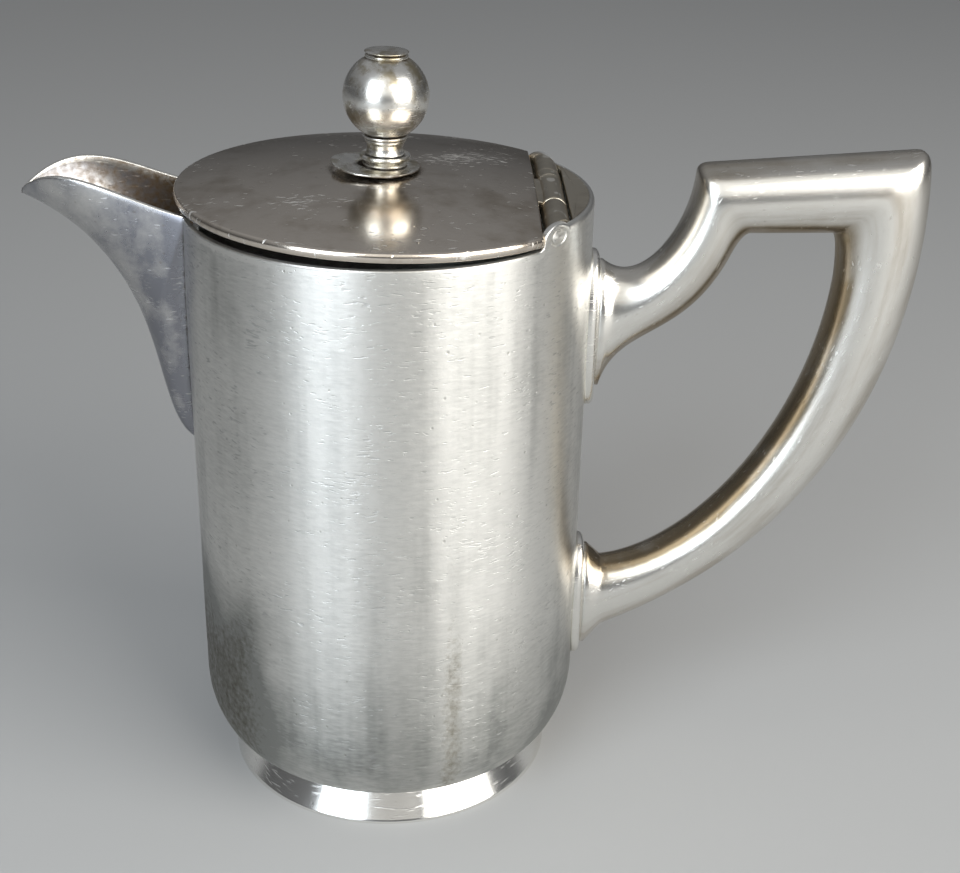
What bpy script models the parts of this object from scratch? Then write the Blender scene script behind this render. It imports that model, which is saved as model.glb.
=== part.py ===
"""A silver cream jug: a drawn body on a foot ring, a soldered beak spout, a hinged domed lid with a
turned finial, and a hollow handle of two halves on saddle plates.

Lengths are in metres. +X runs from the spout to the handle, +Y is away from the near side, +Z is up.
The origin is on the table under the middle of the jug's length; the body's own axis stands at X = AXIS_X.
Every shape below is drawn about the body's axis, and the empty jug_axis carries it to its place.
"""

import math

import bmesh
import bpy
from mathutils import Vector

# The whole jug.
SPOUT_REACH = 0.062
HANDLE_REACH = 0.0926
AXIS_X = (SPOUT_REACH - HANDLE_REACH) / 2
GAP = 0.0003

# Body and foot.
BODY_RADIUS = 0.035
WALL = 0.001
FLOOR_HEIGHT = 0.0055
RIM_HEIGHT = 0.1081
REAR_HEIGHT = 0.1107
CORNER_WIDTH = 0.009
CORNER_HEIGHT = 0.013
FOOT_RADIUS = 0.0296

# Hinge.
HINGE_X = 0.0277
HINGE_Z = 0.1094
EAR_RADIUS = 0.00235
BARREL_RADIUS = 0.0022
PIN_RADIUS = 0.0011
MIDDLE_KNUCKLE = 0.0144

# Lid, in the frame that stands on the hinge's axis with the lid level.
LID_RADIUS = 0.036
LID_EDGE_TOP = 0.11055
LID_EDGE = 0.0016
LID_SHEET = 0.0012
DOME_RISE = 0.003
LID_CUT_X = 0.025
REST_TILT = math.radians(1.2)

# Finial.
FINIAL_X = -0.0007
BALL_RADIUS = 0.0072
BALL_HEIGHT = 0.1259
BOLT_RADIUS = 0.0012

# Spout: its foot on the body's wall, and its keel and its rim as cubic curves of (x, y, z).
SPOUT_ROOT_LOW = 0.0635
SPOUT_ROOT_HALF = 0.0106
SPOUT_SHEET = 0.001
POUR_LOW = 0.074
KEEL = [
    (-BODY_RADIUS, 0, SPOUT_ROOT_LOW),
    (-0.0436, 0, 0.0688),
    (-0.0360, 0, 0.0989),
    (-SPOUT_REACH, 0, 0.1090),
]
SPOUT_RIM = [
    (-0.0333, SPOUT_ROOT_HALF, RIM_HEIGHT),
    (-0.0440, 0.0087, 0.1101),
    (-0.0534, 0.0109, 0.1180),
    (0.0003 - SPOUT_REACH, 0.0006, 0.1099),
]

# Handle: its outer and inner outlines as cubic curves of (x, z) from corner to corner, its half widths,
# and the saddle plates (lowest, highest, half width).
HANDLE_WALL = 0.0012
ROOT_X = BODY_RADIUS + 0.0022
STRUT_OUTER = [(ROOT_X, 0.0986), (0.0446, 0.0925), (0.0526, 0.1056), (0.0523, 0.1158)]
STRUT_INNER = [(ROOT_X, 0.0752), (0.0407, 0.0887), (0.0533, 0.0824), (0.0607, 0.1040)]
LEG_OUTER = [(0.0916, 0.1189), (0.0943, 0.1001), (0.0937, 0.0502), (0.0404, 0.0253)]
LEG_INNER = [(0.0777, 0.1043), (0.0799, 0.0708), (0.0574, 0.0408), (0.0399, 0.0394)]
LEG_ROOT = [(ROOT_X, 0.0210), (ROOT_X, 0.0420)]
STRUT_HALF = 0.0056
BAR_HALF = 0.006
LEG_HALF = 0.0054
SADDLE = 0.0016
UPPER_SADDLE = (0.0718, 0.1003, 0.0072)
LOWER_SADDLE = (0.0193, 0.0439, 0.0068)

BODY_SEGMENTS = 60
SMALL_SEGMENTS = 24


def clear_scene():
    for obj in list(bpy.data.objects):
        bpy.data.objects.remove(obj, do_unlink=True)


def metal(name, colour, roughness):
    """A plated metal of its own for one part."""
    material = bpy.data.materials.new(name + "_metal")
    material.use_nodes = True
    shader = material.node_tree.nodes["Principled BSDF"]
    shader.inputs["Base Color"].default_value = (*colour, 1.0)
    shader.inputs["Metallic"].default_value = 1.0
    shader.inputs["Roughness"].default_value = roughness
    return material


SILVER = (0.72, 0.70, 0.65)
DULL_SILVER = (0.50, 0.47, 0.43)


def solid(name, points, faces):
    """An object from points and faces, with its faces turned outwards."""
    mesh = bpy.data.meshes.new(name)
    mesh.from_pydata([tuple(point) for point in points], [], faces)
    work = bmesh.new()
    work.from_mesh(mesh)
    bmesh.ops.recalc_face_normals(work, faces=work.faces)
    work.to_mesh(mesh)
    work.free()
    mesh.shade_smooth()
    mesh.set_sharp_from_angle(angle=math.radians(35))
    obj = bpy.data.objects.new(name, mesh)
    bpy.context.scene.collection.objects.link(obj)
    return obj


def turned(name, outline, segments=SMALL_SEGMENTS, x=0.0):
    """The closed outline of (radius, height) points, turned about the upright line at x."""
    turns = [math.tau * i / segments for i in range(segments)]
    points = []
    rings = []
    for radius, height in outline:
        first = len(points)
        if radius == 0:
            points.append((x, 0, height))
            rings.append([first] * segments)
        else:
            points += [(x + radius * math.cos(a), radius * math.sin(a), height) for a in turns]
            rings.append(list(range(first, first + segments)))
    faces = []
    for low, high in zip(rings, rings[1:] + rings[:1]):
        for i in range(segments):
            j = (i + 1) % segments
            face = list(dict.fromkeys([low[i], low[j], high[j], high[i]]))
            if len(face) > 2:
                faces.append(face)
    return solid(name, points, faces)


def lofted(name, rings):
    """Closed rings of equally many points, joined in order, with a face across the first and the last."""
    size = len(rings[0])
    points = [point for ring in rings for point in ring]
    faces = [list(range(size)), list(range(len(points) - size, len(points)))]
    for start in range(0, len(points) - size, size):
        for i in range(size):
            j = (i + 1) % size
            faces.append([start + i, start + j, start + size + j, start + size + i])
    return solid(name, points, faces)


def prism(name, outline, axis, low, high):
    """The closed outline of a plane, drawn out from low to high along axis "X", "Y" or "Z"."""
    place = {
        "X": lambda u, v, along: (along, u, v),
        "Y": lambda u, v, along: (u, along, v),
        "Z": lambda u, v, along: (u, v, along),
    }[axis]
    return lofted(name, [[place(u, v, along) for u, v in outline] for along in (low, high)])


def box(name, low, high):
    corners = [(low[0], low[1]), (high[0], low[1]), (high[0], high[1]), (low[0], high[1])]
    return prism(name, corners, "Z", low[2], high[2])


def disc(radius, x=0.0, z=0.0, segments=SMALL_SEGMENTS):
    """The points of a circle about (x, z), for a prism."""
    turns = [math.tau * i / segments for i in range(segments)]
    return [(x + radius * math.cos(a), z + radius * math.sin(a)) for a in turns]


def combine(obj, operation, tool):
    """A live Boolean with a hidden tool."""
    tool.hide_render = True
    tool.display_type = "WIRE"
    modifier = obj.modifiers.new(tool.name, "BOOLEAN")
    modifier.operation = operation
    modifier.object = tool
    modifier.solver = "EXACT"


def bezier(points, t):
    """The point at t, from 0 to 1, of a cubic curve through the first and last of four points."""
    a, b, c, d = (Vector(point) for point in points)
    s = 1 - t
    return a * s**3 + b * (3 * s * s * t) + c * (3 * s * t * t) + d * t**3


def arc(radius, start, end, steps, centre=(0.0, 0.0)):
    """Points of a circle's arc between two angles in degrees."""
    angles = [math.radians(start + (end - start) * i / steps) for i in range(steps + 1)]
    return [(centre[0] + radius * math.cos(a), centre[1] + radius * math.sin(a)) for a in angles]


def corner_curve(inset, steps=6):
    """The rounded lower corner of the body, a quarter ellipse from the wall down to the floor."""
    points = []
    for i in range(steps + 1):
        angle = math.pi / 2 * i / steps
        radius = BODY_RADIUS - CORNER_WIDTH + (CORNER_WIDTH - inset) * math.cos(angle)
        height = FLOOR_HEIGHT + CORNER_HEIGHT - (CORNER_HEIGHT - inset) * math.sin(angle)
        points.append((radius, height))
    return points


def spout_half_width(height):
    """Half the width of the spout's foot on the body's wall at a height: a V with a round point."""
    rise = max(height - SPOUT_ROOT_LOW, 0.0) / (RIM_HEIGHT - SPOUT_ROOT_LOW)
    return SPOUT_ROOT_HALF * rise**0.8


def body_shell():
    """The drawn cup. Its wall rises behind the hinge, with round ears on the pin's ends."""
    top = REAR_HEIGHT + 0.0013
    outer = [(BODY_RADIUS, top)] + corner_curve(0.0) + [(0, FLOOR_HEIGHT)]
    inner = [(BODY_RADIUS - WALL, top)] + corner_curve(WALL) + [(0, FLOOR_HEIGHT + WALL)]
    body = turned("body_shell", outer + inner[::-1], BODY_SEGMENTS)

    clear = BODY_RADIUS + 0.01
    ear_low = math.degrees(math.asin((RIM_HEIGHT - HINGE_Z) / EAR_RADIUS))
    ear_high = math.degrees(math.asin((REAR_HEIGHT - HINGE_Z) / EAR_RADIUS))
    ear = arc(EAR_RADIUS, 180 - ear_low, ear_high, 12, (HINGE_X, HINGE_Z))
    above = [(-clear, RIM_HEIGHT)] + ear + [(clear, REAR_HEIGHT), (clear, 0.12), (-clear, 0.12)]
    combine(body, "DIFFERENCE", prism("rim_cutter", above, "Y", -clear, clear))

    side = []
    for i in range(9):
        height = POUR_LOW + (RIM_HEIGHT - POUR_LOW) * i / 8
        side.append((spout_half_width(height) - spout_half_width(POUR_LOW), height))
    side.append((side[-1][0], 0.12))
    pour = side + [(-u, v) for u, v in side[:0:-1]]
    combine(body, "DIFFERENCE", prism("pour_cutter", pour, "X", -clear, -0.02))

    bore = disc(PIN_RADIUS + GAP, HINGE_X, HINGE_Z, 24)
    combine(body, "DIFFERENCE", prism("ear_bore_cutter", bore, "Y", -clear, clear))
    return body


def foot_ring():
    """A flared ring under the rounded corner, flat where it stands."""
    width = 0.0016
    top = FLOOR_HEIGHT - GAP
    outline = [
        (FOOT_RADIUS, 0.0),
        (FOOT_RADIUS, 0.0006),
        (FOOT_RADIUS - 0.0006, 0.002),
        (FOOT_RADIUS - 0.0008, top),
        (FOOT_RADIUS - 0.0008 - width, top),
        (FOOT_RADIUS - 0.0006 - width, 0.002),
        (FOOT_RADIUS - width, 0.0),
    ]
    return turned("foot_ring", outline, BODY_SEGMENTS)


def spout_edge(s):
    """The spout's edge: up its foot on the wall for the first half of s, then out along its rim."""
    if s >= 0.5:
        return bezier(SPOUT_RIM, 2 * s - 1)
    height = SPOUT_ROOT_LOW + (RIM_HEIGHT - SPOUT_ROOT_LOW) * 2 * s
    across = spout_half_width(height)
    return Vector((-math.sqrt(BODY_RADIUS**2 - across**2), across, height))


def spout_ring(s, inset, rise):
    """One U-shaped rib from edge to edge, closed by a line across that lies `rise` above the edges."""
    keel = bezier(KEEL, s) + Vector((inset, 0, inset * 0.4))
    edge = spout_edge(s)
    inward = Vector((0.003 + inset, 0, 0)) if s < 0.5 else Vector((0.003 * (1 - s) * 2, 0, 0))
    half = max(edge.y - inset, 0.0002)
    steps = 6
    near = []
    for i in range(steps + 1):
        angle = math.pi / 2 * i / steps
        along = 1 - math.cos(angle)
        point = keel.lerp(edge + inward, along)
        near.append(Vector((point.x, half * math.sin(angle), point.z)))
    near.append(near[-1] + Vector((0, 0, rise)))
    return [Vector((p.x, -p.y, p.z)) for p in near[:0:-1]] + near


def spout():
    """An open beak of sheet metal, cut to the body's wall."""
    stations = 20
    outer = [spout_ring(0.02 + 0.98 * i / stations, 0.0, 0.0001) for i in range(stations + 1)]
    hollow = [spout_ring(0.12 + 0.82 * i / stations, SPOUT_SHEET, 0.008) for i in range(stations + 1)]
    beak = lofted("spout", outer)
    combine(beak, "DIFFERENCE", lofted("spout_hollow_cutter", hollow))
    wall = [(0, 0.05), (BODY_RADIUS + GAP, 0.05), (BODY_RADIUS + GAP, 0.13), (0, 0.13)]
    combine(beak, "DIFFERENCE", turned("spout_wall_cutter", wall, BODY_SEGMENTS))
    return beak


def rear_top_plate():
    """The fixed half-moon behind the hinge, flush with the raised wall."""
    straight_x = HINGE_X + BARREL_RADIUS + GAP
    thickness = 0.0012
    radius = BODY_RADIUS - WALL - GAP
    half_turn = math.degrees(math.acos(straight_x / radius))
    outline = arc(radius, -half_turn, half_turn, 14)
    return prism("rear_top_plate", outline, "Z", REAR_HEIGHT - thickness, REAR_HEIGHT)


def knuckle(name, low, high):
    """A length of the hinge's barrel, bored for the pin and clear of the body's wall."""
    tube = prism(name, disc(BARREL_RADIUS, HINGE_X, HINGE_Z, 24), "Y", low, high)
    bore = disc(PIN_RADIUS + GAP, HINGE_X, HINGE_Z, 24)
    combine(tube, "DIFFERENCE", prism(name + "_bore_cutter", bore, "Y", low - 0.01, high + 0.01))
    return tube


def fixed_knuckles():
    """The near and the far knuckle, whose outer ends follow the inside of the wall."""
    inside = [(0, 0.1), (BODY_RADIUS - WALL - GAP, 0.1), (BODY_RADIUS - WALL - GAP, 0.12), (0, 0.12)]
    start = MIDDLE_KNUCKLE / 2 + GAP / 2
    pair = []
    for name, side in (("hinge_knuckle_near", -1), ("hinge_knuckle_far", 1)):
        ends = sorted((side * start, side * BODY_RADIUS))
        tube = knuckle(name, *ends)
        combine(tube, "INTERSECT", turned(name + "_wall_tool", inside, BODY_SEGMENTS))
        pair.append(tube)
    return pair


def lid_knuckle():
    """The middle knuckle, with the leaf that is soldered under the lid."""
    half = MIDDLE_KNUCKLE / 2 - GAP / 2
    tube = prism("hinge_knuckle_lid", disc(BARREL_RADIUS, HINGE_X, HINGE_Z, 24), "Y", -half, half)
    leaf = [
        (HINGE_X, HINGE_Z + 0.0002),
        (HINGE_X, HINGE_Z + 0.0010),
        (LID_CUT_X, HINGE_Z + 0.0010),
        (LID_CUT_X - 0.0065, HINGE_Z + 0.0016),
        (LID_CUT_X - 0.0065, HINGE_Z + 0.0008),
        (LID_CUT_X, HINGE_Z + 0.0002),
    ]
    combine(tube, "UNION", prism("lid_leaf_tool", leaf, "Y", -half + 0.0002, half - 0.0002))
    bore = disc(PIN_RADIUS + GAP, HINGE_X, HINGE_Z, 24)
    combine(tube, "DIFFERENCE", prism("lid_bore_cutter", bore, "Y", -0.02, 0.02))
    return tube


def hinge_pin():
    """One rod through both ears and all three knuckles, dressed flush with the outside of the wall."""
    pin = prism("hinge_pin", disc(PIN_RADIUS, HINGE_X, HINGE_Z, 20), "Y", -BODY_RADIUS, BODY_RADIUS)
    outside = [(0, 0.1), (BODY_RADIUS, 0.1), (BODY_RADIUS, 0.12), (0, 0.12)]
    combine(pin, "INTERSECT", turned("pin_wall_tool", outside, BODY_SEGMENTS))
    return pin


def dome(radius):
    """Height of the lid's top surface at a distance from the body's axis."""
    return LID_EDGE_TOP + DOME_RISE * (1 - (radius / LID_RADIUS) ** 2)


def lid_plate():
    """A shallow dome with a turned-down edge, cut straight along the hinge and bored for the bolt."""
    steps = 6
    edge_width = 0.0022
    inner = LID_RADIUS - edge_width
    top = [(LID_RADIUS * i / steps, dome(LID_RADIUS * i / steps)) for i in range(steps)]
    edge = [
        (LID_RADIUS, LID_EDGE_TOP - 0.0003),
        (LID_RADIUS, LID_EDGE_TOP - LID_EDGE + 0.0002),
        (LID_RADIUS - 0.0003, LID_EDGE_TOP - LID_EDGE),
        (inner, LID_EDGE_TOP - LID_EDGE),
    ]
    under = [(inner * i / steps, dome(inner * i / steps) - LID_SHEET) for i in range(steps + 1)]
    lid = turned("lid_plate", top + edge + under[::-1], BODY_SEGMENTS)
    clear = LID_RADIUS + 0.01
    combine(lid, "DIFFERENCE", box("lid_cutter", (LID_CUT_X, -clear, 0.1), (clear, clear, 0.12)))
    bore = turned(
        "lid_bolt_cutter",
        [(0, 0.1), (BOLT_RADIUS + GAP, 0.1), (BOLT_RADIUS + GAP, 0.13), (0, 0.13)],
        20,
        FINIAL_X,
    )
    combine(lid, "DIFFERENCE", bore)
    return lid


def bored(name, outline, segments=SMALL_SEGMENTS, x=FINIAL_X):
    """A turned piece of the finial. Its outline is the outer side only, top to bottom."""
    bore = BOLT_RADIUS + GAP
    closed = [(bore, outline[0][1])] + outline + [(bore, outline[-1][1])]
    return turned(name, closed, segments, x)


def finial():
    """Washer, base, neck and ball, threaded on one round-headed bolt with a nut under the lid."""
    washer_top = dome(0) + GAP + 0.0004
    washer_shift = -0.0016
    washer = turned(
        "finial_washer",
        [
            (BOLT_RADIUS - washer_shift + GAP, washer_top),
            (0.0074, washer_top),
            (0.0075, washer_top - 0.0002),
            (0.0074, washer_top - 0.0004),
            (BOLT_RADIUS - washer_shift + GAP, washer_top - 0.0004),
        ],
        SMALL_SEGMENTS,
        FINIAL_X + washer_shift,
    )
    base_low = washer_top + GAP
    base_top = 0.11615
    base = bored(
        "finial_base",
        [(0.0041, base_top), (0.0043, base_top - 0.0002), (0.0043, base_low + 0.0002), (0.0041, base_low)],
    )
    neck = bored(
        "finial_neck",
        [
            (0.0037, 0.11945),
            (0.0038, 0.1193),
            (0.0038, 0.1191),
            (0.0036, 0.1189),
            (0.0033, 0.1188),
            (0.0034, 0.1186),
            (0.0034, 0.1183),
            (0.0032, 0.1181),
            (0.0031, base_top + 0.0009),
            (0.0033, base_top + GAP),
        ],
    )
    ball_low = math.degrees(math.asin((0.11975 - BALL_HEIGHT) / BALL_RADIUS))
    ball_high = math.degrees(math.asin((0.13225 - BALL_HEIGHT) / BALL_RADIUS))
    ball = bored("finial_ball", arc(BALL_RADIUS, ball_high, ball_low, 10, (0.0, BALL_HEIGHT)))
    head_low = 0.13255
    bolt = turned(
        "finial_bolt",
        [
            (0, 0.1335),
            (0.0020, 0.13345),
            (0.0036, 0.1333),
            (0.00365, 0.1331),
            (0.0035, 0.1330),
            (0.0032, 0.1329),
            (0.0035, 0.1328),
            (0.0035, head_low),
            (BOLT_RADIUS, head_low),
            (BOLT_RADIUS, 0.1090),
            (0, 0.1090),
        ],
        24,
        FINIAL_X,
    )
    under = dome(0) - LID_SHEET - GAP - 0.0001
    inner_washer = bored(
        "finial_inner_washer", [(0.0042, under), (0.0042, under - 0.0005)], 24
    )
    nut_top = under - 0.0005 - GAP
    nut = bored("finial_nut", [(0.0029, nut_top), (0.0029, nut_top - 0.0016)], 6)
    return [washer, base, neck, ball, bolt, inner_washer, nut]


def handle_stations():
    """(outer point, inner point, half width) along the strut, the bar, the leg and its root."""
    found = []
    strut_steps, leg_steps = 10, 16
    for i in range(strut_steps + 1):
        t = i / strut_steps
        half = STRUT_HALF + (BAR_HALF - STRUT_HALF) * t
        found.append((bezier(STRUT_OUTER, t), bezier(STRUT_INNER, t), half))
    for i in range(leg_steps + 1):
        t = i / leg_steps
        half = BAR_HALF + (LEG_HALF - BAR_HALF) * t
        found.append((bezier(LEG_OUTER, t), bezier(LEG_INNER, t), half))
    found.append((Vector(LEG_ROOT[0]), Vector(LEG_ROOT[1]), LEG_HALF))
    return found


def handle_half(name, side):
    """Half of the hollow handle, split along its middle plane, with its wall and two open ends."""
    steps = 8
    squareness = 2 / 2.3
    rings = []
    for outer, inner, half in handle_stations():
        centre = (outer + inner) / 2
        reach = (outer - inner) / 2
        ring = []
        for shrink, order in ((0.0, range(steps + 1)), (HANDLE_WALL, range(steps, -1, -1))):
            along = 1 - shrink / reach.length
            for i in order:
                angle = math.pi * i / steps
                cosine = math.cos(angle)
                across = math.sin(angle) ** squareness * (half - shrink - GAP / 2)
                place = centre + reach * along * math.copysign(abs(cosine) ** squareness, cosine)
                ring.append((place.x, side * (GAP / 2 + across), place.y))
        rings.append(ring)
    return lofted(name, rings)


def saddle_plate(name, low, high, half_width):
    """A plate with an elongated round outline, bent round the body's wall."""
    middle = (low + high) / 2
    half_height = (high - low) / 2
    outline = []
    for i in range(28):
        angle = math.tau * i / 28
        across = math.copysign(abs(math.cos(angle)) ** 0.8, math.cos(angle))
        up = math.copysign(abs(math.sin(angle)) ** 0.8, math.sin(angle))
        outline.append((half_width * across, middle + half_height * up))
    plate = prism(name, outline, "X", 0.03, 0.04)
    inner = BODY_RADIUS + GAP
    outer = BODY_RADIUS + SADDLE
    sleeve = [(inner, 0.01), (outer, 0.01), (outer, 0.11), (inner, 0.11)]
    combine(plate, "INTERSECT", turned(name + "_sleeve_tool", sleeve, BODY_SEGMENTS))
    return plate


def empty(name, place):
    holder = bpy.data.objects.new(name, None)
    holder.location = place
    bpy.context.scene.collection.objects.link(holder)
    return holder


def main():
    clear_scene()
    jug_axis = empty("jug_axis", (AXIS_X, 0, 0))
    lid_hinge = empty("lid_hinge", (HINGE_X, 0, HINGE_Z))
    lid_hinge.parent = jug_axis
    lid_hinge.rotation_euler = (0, REST_TILT, 0)

    body_parts = [
        (body_shell(), SILVER, 0.28),
        (foot_ring(), SILVER, 0.18),
        (spout(), SILVER, 0.30),
        (rear_top_plate(), DULL_SILVER, 0.35),
        (hinge_pin(), DULL_SILVER, 0.35),
        (handle_half("handle_half_near", -1), SILVER, 0.22),
        (handle_half("handle_half_far", 1), SILVER, 0.22),
        (saddle_plate("handle_upper_saddle", *UPPER_SADDLE), SILVER, 0.25),
        (saddle_plate("handle_lower_saddle", *LOWER_SADDLE), SILVER, 0.25),
    ]
    body_parts += [(tube, DULL_SILVER, 0.35) for tube in fixed_knuckles()]
    lid_parts = [(lid_plate(), DULL_SILVER, 0.32), (lid_knuckle(), DULL_SILVER, 0.35)]
    lid_parts += [(piece, SILVER, 0.2) for piece in finial()]

    for obj, colour, roughness in body_parts + lid_parts:
        obj.data.materials.append(metal(obj.name, colour, roughness))
    for obj in list(bpy.data.objects):
        if obj.type == "MESH":
            obj.parent = jug_axis
    moving = {obj.name for obj, _, _ in lid_parts}
    moving |= {modifier.object.name for obj, _, _ in lid_parts for modifier in obj.modifiers}
    for name in moving:
        obj = bpy.data.objects[name]
        obj.parent = lid_hinge
        obj.location = (-HINGE_X, 0, -HINGE_Z)


main()
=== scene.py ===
import math

import bpy
import numpy as np
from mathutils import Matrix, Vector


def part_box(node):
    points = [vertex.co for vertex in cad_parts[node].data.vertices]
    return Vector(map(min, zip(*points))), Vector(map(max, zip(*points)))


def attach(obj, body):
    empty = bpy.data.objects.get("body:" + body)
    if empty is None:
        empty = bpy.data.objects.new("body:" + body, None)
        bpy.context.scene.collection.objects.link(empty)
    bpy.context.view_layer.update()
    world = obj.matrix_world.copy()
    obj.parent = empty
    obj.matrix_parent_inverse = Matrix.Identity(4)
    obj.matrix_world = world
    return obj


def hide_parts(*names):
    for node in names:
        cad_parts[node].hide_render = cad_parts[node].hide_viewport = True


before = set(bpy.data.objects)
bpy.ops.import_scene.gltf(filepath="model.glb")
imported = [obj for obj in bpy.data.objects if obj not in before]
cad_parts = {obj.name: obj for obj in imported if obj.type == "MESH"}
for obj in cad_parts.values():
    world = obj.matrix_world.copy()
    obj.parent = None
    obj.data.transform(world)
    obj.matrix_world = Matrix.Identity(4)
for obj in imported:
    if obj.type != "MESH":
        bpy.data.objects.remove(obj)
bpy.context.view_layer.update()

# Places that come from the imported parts.
bodyLow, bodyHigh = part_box("body_shell")
pinLow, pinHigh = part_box("hinge_pin")
footLow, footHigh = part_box("foot_ring")
axisX = (bodyLow.x + bodyHigh.x) / 2  # the body's own upright axis
bodyRadius = (bodyHigh.x - bodyLow.x) / 2
hingeX = (pinLow.x + pinHigh.x) / 2 - axisX  # the hinge, measured from the body's axis
hingeZ = (pinLow.z + pinHigh.z) / 2
footRadius = (footHigh.x - footLow.x) / 2
restTilt = math.radians(1.2)  # the lid sits a little high at the spout
print("frame loaded, body radius", round(bodyRadius, 4))


# Smooth step: 0 below low, 1 above high, and 3t^2 - 2t^3 between.
def ease(low, high, value):
    t = np.clip((value - low) / (high - low), 0, 1)
    return t * t * (3 - 2 * t)


# Bell curve of height 1 about a middle.
def bell(value, middle, width):
    return np.exp(-(((value - middle) / width) ** 2))


# A sum of a few sines with fixed phases: a smooth unevenness between about -1 and 1.
def uneven(a, b, seed):
    total = 0
    for turn in (1, 2, 3, 4):
        total = total + np.sin(a * turn * 0.83 + seed * turn + np.cos(b * 0.7 * turn + seed)) / turn
    return total / 2.1


# A power that keeps the sign, which turns a circle's cosine and sine into a superellipse's.
def signedPower(value, power):
    return np.sign(value) * np.abs(value) ** power


# Cubic curve through the first and last of four points, at every t of an array.
def cubic(points, t):
    a, b, c, d = np.array(points, float)
    t = np.asarray(t)[..., None]
    s = 1 - t
    return a * s**3 + b * 3 * s * s * t + c * 3 * s * t * t + d * t**3


# A line of (across, up, round) corners. Each corner becomes a quadratic curve that leaves its two sides
# `round` away from the corner, or halfway along where a side is shorter.
def softened(corners, steps=7):
    corners = np.array(corners, float)
    place, size = corners[:, :2], corners[:, 2]
    before = np.vstack([place[:1], place[:-1]]) - place
    after = np.vstack([place[1:], place[-1:]]) - place
    longBefore = np.linalg.norm(before, axis=1) + 1e-12
    longAfter = np.linalg.norm(after, axis=1) + 1e-12
    start = place + before * (np.minimum(size, longBefore * 0.48) / longBefore)[:, None]
    end = place + after * (np.minimum(size, longAfter * 0.48) / longAfter)[:, None]
    t = np.linspace(0, 1, steps)[None, :, None]
    curve = (1 - t) ** 2 * start[:, None] + 2 * t * (1 - t) * place[:, None] + t**2 * end[:, None]
    return curve.reshape(-1, 2)


# The lid's pieces are drawn level, then turned by the rest tilt about the hinge.
def tipped(grid):
    x = grid[..., 0] - hingeX
    z = grid[..., 2] - hingeZ
    turned = grid.copy()
    turned[..., 0] = hingeX + x * math.cos(restTilt) + z * math.sin(restTilt)
    turned[..., 2] = hingeZ - x * math.sin(restTilt) + z * math.cos(restTilt)
    return turned


# Corner numbers of every four-sided face on a grid, row by row.
def gridFaces(rows, columns):
    corner = np.arange(rows * columns).reshape(rows, columns)
    faces = np.stack([corner[:-1, :-1], corner[:-1, 1:], corner[1:, 1:], corner[1:, :-1]], -1)
    return faces.reshape(-1, 4)


# A skin over a grid of places, row by row: each place is joined to the next in its row and its column.
# Doubles are merged, so a seam or a pole closes, and the faces are turned round where they enclose a
# negative volume. The UV map, unless one is given, is the mean length walked along the columns and the
# rows, in metres.
def skin(name, grid, wear=None, grime=None, tarnishAndShade=None, uv=None):
    grid = grid + np.array([axisX, 0, 0])
    rows, columns = grid.shape[:2]
    quads = gridFaces(rows, columns)
    places = grid.reshape(-1, 3)
    weldStep = 1.3e-7
    rounded = np.round(places / weldStep).astype(np.int64)
    _, first, merged = np.unique(rounded, axis=0, return_index=True, return_inverse=True)
    merged = merged.reshape(-1)
    points = places[first]
    around = merged[quads]
    halves = np.concatenate([around[:, [0, 1, 2]], around[:, [0, 2, 3]]])
    if np.linalg.det(points[halves] - points.mean(0)).sum() < 0:
        quads = quads[:, ::-1]
        around = merged[quads]
    distinct = around != np.roll(around, -1, axis=1)
    sides = distinct.sum(1)
    real = (sides > 2) & (around[:, 0] != around[:, 2]) & (around[:, 1] != around[:, 3])
    distinct, sides = distinct[real], sides[real]
    gridCorners = quads[real][distinct]

    mesh = bpy.data.meshes.new(name)
    mesh.vertices.add(len(points))
    mesh.vertices.foreach_set("co", points.ravel())
    mesh.loops.add(len(gridCorners))
    mesh.loops.foreach_set("vertex_index", merged[gridCorners].astype(np.int32))
    mesh.polygons.add(len(sides))
    mesh.polygons.foreach_set("loop_start", (np.cumsum(sides) - sides).astype(np.int32))
    mesh.update(calc_edges=True)

    if uv is None:
        across = np.linalg.norm(np.diff(grid, axis=1), axis=2).mean(0)
        along = np.linalg.norm(np.diff(grid, axis=0), axis=2).mean(1)
        u = np.concatenate([[0], np.cumsum(across)])
        v = np.concatenate([[0], np.cumsum(along)])
        uv = np.stack(np.broadcast_arrays(u[None, :], v[:, None]), -1)
    uv = uv.reshape(-1, 2)
    mesh.uv_layers.new(name="UVMap").data.foreach_set("uv", uv[gridCorners].ravel())
    for label, values in (("wear", wear), ("grime", grime), ("tarnishAndShade", tarnishAndShade)):
        if values is not None:
            painted = np.broadcast_to(values, (rows, columns)).reshape(-1)[first]
            layer = mesh.attributes.new(label, "FLOAT", "POINT")
            layer.data.foreach_set("value", painted.astype(np.float32))
    mesh.validate()
    mesh.shade_smooth()
    piece = bpy.data.objects.new(name, mesh)
    bpy.context.scene.collection.objects.link(piece)
    return piece


# Places round an upright line at x: (x + radius * cos, radius * sin, height) of every angle.
def circled(radius, angle, height, x=0.0):
    across = radius * np.sin(angle)
    return np.stack([x + radius * np.cos(angle), across, height + 0 * across], -1)


# A profile of (radius, height) turned about an upright line at x, with `steps` columns all round.
def turnedGrid(profile, steps=96, x=0.0):
    radius, height = np.asarray(profile).T[..., None]
    return circled(radius, np.linspace(0, math.tau, steps + 1), height, x)


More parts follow.
